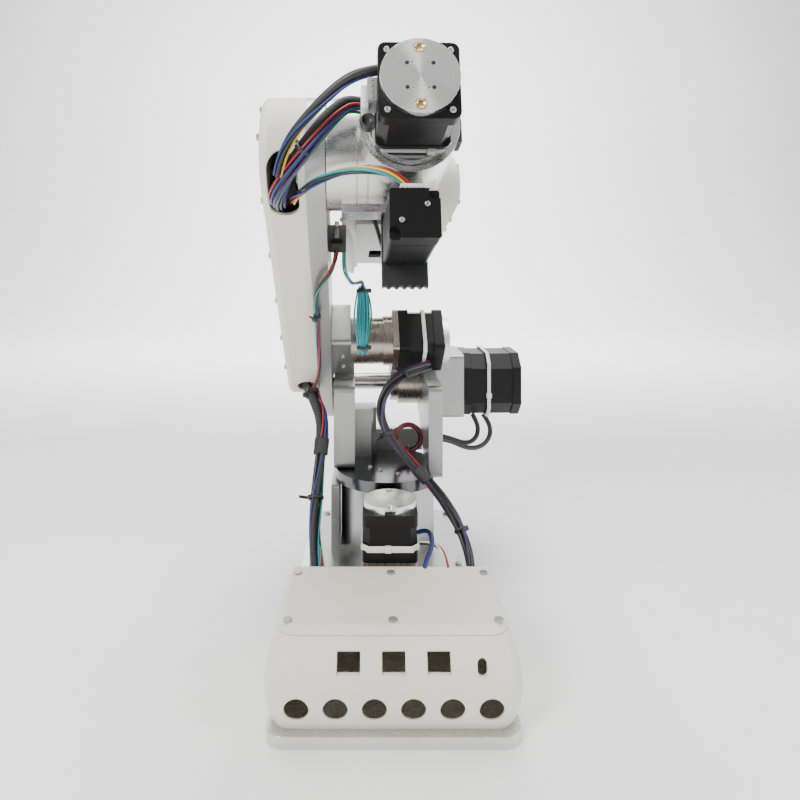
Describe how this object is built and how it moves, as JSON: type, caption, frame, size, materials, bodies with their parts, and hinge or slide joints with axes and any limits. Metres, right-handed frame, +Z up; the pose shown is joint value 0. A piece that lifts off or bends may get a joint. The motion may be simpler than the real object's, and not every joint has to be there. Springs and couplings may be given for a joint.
{
  "type": "desktop robot arm",
  "caption": "Six-axis desktop robot arm with stepper motors, belt drives, machined brackets, white covers, a rear electronics enclosure and a round tool flange.",
  "frame": {"origin": "centre of the four base bolt holes, under the base joint, on the table plane", "axes": "+Z up, +Y the way the robot faces, +X to its right"},
  "size_m": [0.2258, 0.3877, 0.4155],
  "materials": {
    "machined_aluminium": "machined",
    "grey_aluminium": "bead blasted",
    "dark_aluminium": "anodised",
    "white_plastic": "printed, matte",
    "steel_screw": "plated",
    "motor_black": "satin black",
    "brushed_disc": "radially brushed",
    "gearbox_steel": "turned",
    "bearing_steel": "ground",
    "belt_rubber": "matte",
    "cable_sleeve": "satin",
    "wire_insulation": "satin",
    "switch_plastic": "semi-gloss"
  },
  "bodies": {
    "base": {"base_plate": "machined_aluminium", "base_frame": "grey_aluminium", "base_top_plate": "grey_aluminium", "rear_enclosure": "white_plastic", "enclosure_lid": "white_plastic", "lid_screws": "steel_screw", "j1_motor": "motor_black", "j1_motor_disc": "brushed_disc", "j1_gearbox": "gearbox_steel", "j1_housing": "grey_aluminium", "j1_bearings": "bearing_steel", "j1_belt": "belt_rubber", "left_harness_lower": "cable_sleeve", "right_harness_lower": "cable_sleeve"},
    "j1_motor_shaft": {"j1_drive_pulley": "machined_aluminium"},
    "turret": {"turret_disc": "dark_aluminium", "turret_spindle": "bearing_steel", "turret_bracket": "grey_aluminium", "j2_gearbox": "gearbox_steel", "j2_flange_block": "grey_aluminium", "j2_motor": "motor_black", "j2_motor_disc": "brushed_disc", "wire_coil": "wire_insulation", "j2_motor_cable": "cable_sleeve", "j2_encoder_cable": "cable_sleeve", "left_harness_upper": "cable_sleeve", "right_harness_upper": "cable_sleeve"},
    "upper_arm": {"arm_plate": "grey_aluminium", "j2_shaft": "bearing_steel", "arm_cover": "white_plastic", "cover_screws": "steel_screw", "j3_mount_block": "grey_aluminium", "j3_gearbox": "gearbox_steel", "j3_motor": "motor_black", "j3_motor_disc": "brushed_disc", "j3_belt": "belt_rubber", "arm_limit_switch": "switch_plastic", "wire_hank": "wire_insulation"},
    "j3_motor_shaft": {"j3_drive_pulley": "machined_aluminium"},
    "elbow": {"j3_driven_pulley": "machined_aluminium", "elbow_housing": "machined_aluminium", "j4_motor": "motor_black", "j4_motor_mount": "switch_plastic", "j4_belt": "belt_rubber", "elbow_limit_switch": "switch_plastic", "elbow_harness": "cable_sleeve", "j4_motor_lead": "cable_sleeve", "forearm_harness": "cable_sleeve"},
    "j4_motor_shaft": {"j4_drive_pulley": "machined_aluminium"},
    "forearm": {"forearm_spindle": "bearing_steel", "j5_motor": "motor_black", "j5_motor_disc": "brushed_disc", "forearm_frame": "grey_aluminium", "forearm_left_cover": "white_plastic", "forearm_right_cover": "white_plastic"},
    "lead_screw": {"lead_screw": "bearing_steel"},
    "carriage": {"j5_carriage": "machined_aluminium"},
    "wrist": {"wrist_body": "grey_aluminium", "j6_motor": "motor_black"},
    "tool_flange": {"tool_flange": "machined_aluminium"}
  },
  "joints": [
    {"name": "base_turn", "type": "hinge", "parent": "base", "child": "turret", "pos_m": [0, 0, 0], "axis": [0, 0, 1], "range_deg": [-170, 170], "deforming": ["left_harness_lower", "right_harness_lower"]},
    {"name": "j1_motor_spin", "type": "hinge", "parent": "base", "child": "j1_motor_shaft", "pos_m": [0, -0.082, 0], "axis": [0, 0, 1], "range_deg": [-680, 680]},
    {"name": "shoulder", "type": "hinge", "parent": "turret", "child": "upper_arm", "pos_m": [-0.00258, 0.06415, 0.1698], "axis": [-0.9992, -0.0401, 0], "range_deg": [-1.5, 138], "deforming": ["left_harness_upper", "right_harness_upper"]},
    {"name": "elbow_bend", "type": "hinge", "parent": "upper_arm", "child": "elbow", "pos_m": [0.00673, -0.16759, 0.36788], "axis": [0.9992, 0.0401, 0], "range_deg": [-3, 125], "deforming": ["elbow_harness", "j4_motor_lead"]},
    {"name": "j3_motor_spin", "type": "hinge", "parent": "upper_arm", "child": "j3_motor_shaft", "pos_m": [-0.00029, 0.00716, 0.21851], "axis": [0.9992, 0.0401, 0], "range_deg": [-3, 125]},
    {"name": "forearm_roll", "type": "hinge", "parent": "elbow", "child": "forearm", "pos_m": [0.00673, -0.16759, 0.36788], "axis": [-0.0389, 0.9695, -0.2419], "range_deg": [-165, 165], "deforming": ["forearm_harness"]},
    {"name": "j4_motor_spin", "type": "hinge", "parent": "elbow", "child": "j4_motor_shaft", "pos_m": [0.00731, -0.18209, 0.30966], "axis": [-0.0389, 0.9695, -0.2419], "range_deg": [-495, 495]},
    {"name": "wrist_bend", "type": "hinge", "parent": "forearm", "child": "wrist", "pos_m": [-0.00194, 0.04823, 0.31403], "axis": [0.9992, 0.0401, 0], "range_deg": [-105, 105]},
    {"name": "screw_turn", "type": "hinge", "parent": "forearm", "child": "lead_screw", "pos_m": [0.00673, -0.16759, 0.36788], "axis": [-0.0389, 0.9695, -0.2419], "range_deg": [-990, 990]},
    {"name": "carriage_slide", "type": "slide", "parent": "forearm", "child": "carriage", "axis": [-0.0389, 0.9695, -0.2419], "range_m": [-0.0221, 0.0221]},
    {"name": "flange_turn", "type": "hinge", "parent": "wrist", "child": "tool_flange", "pos_m": [-0.00194, 0.04823, 0.31403], "axis": [-0.0389, 0.9695, -0.2419], "range_deg": [-155, 155]}
  ],
  "couplings": [
    {"joint": "j1_motor_spin", "follows": "base_turn", "ratio": 4},
    {"joint": "j3_motor_spin", "follows": "elbow_bend", "ratio": 1},
    {"joint": "j4_motor_spin", "follows": "forearm_roll", "ratio": 3},
    {"joint": "screw_turn", "follows": "wrist_bend", "ratio": 9.4248},
    {"joint": "carriage_slide", "follows": "wrist_bend", "m_per_rad": 0.012}
  ]
}
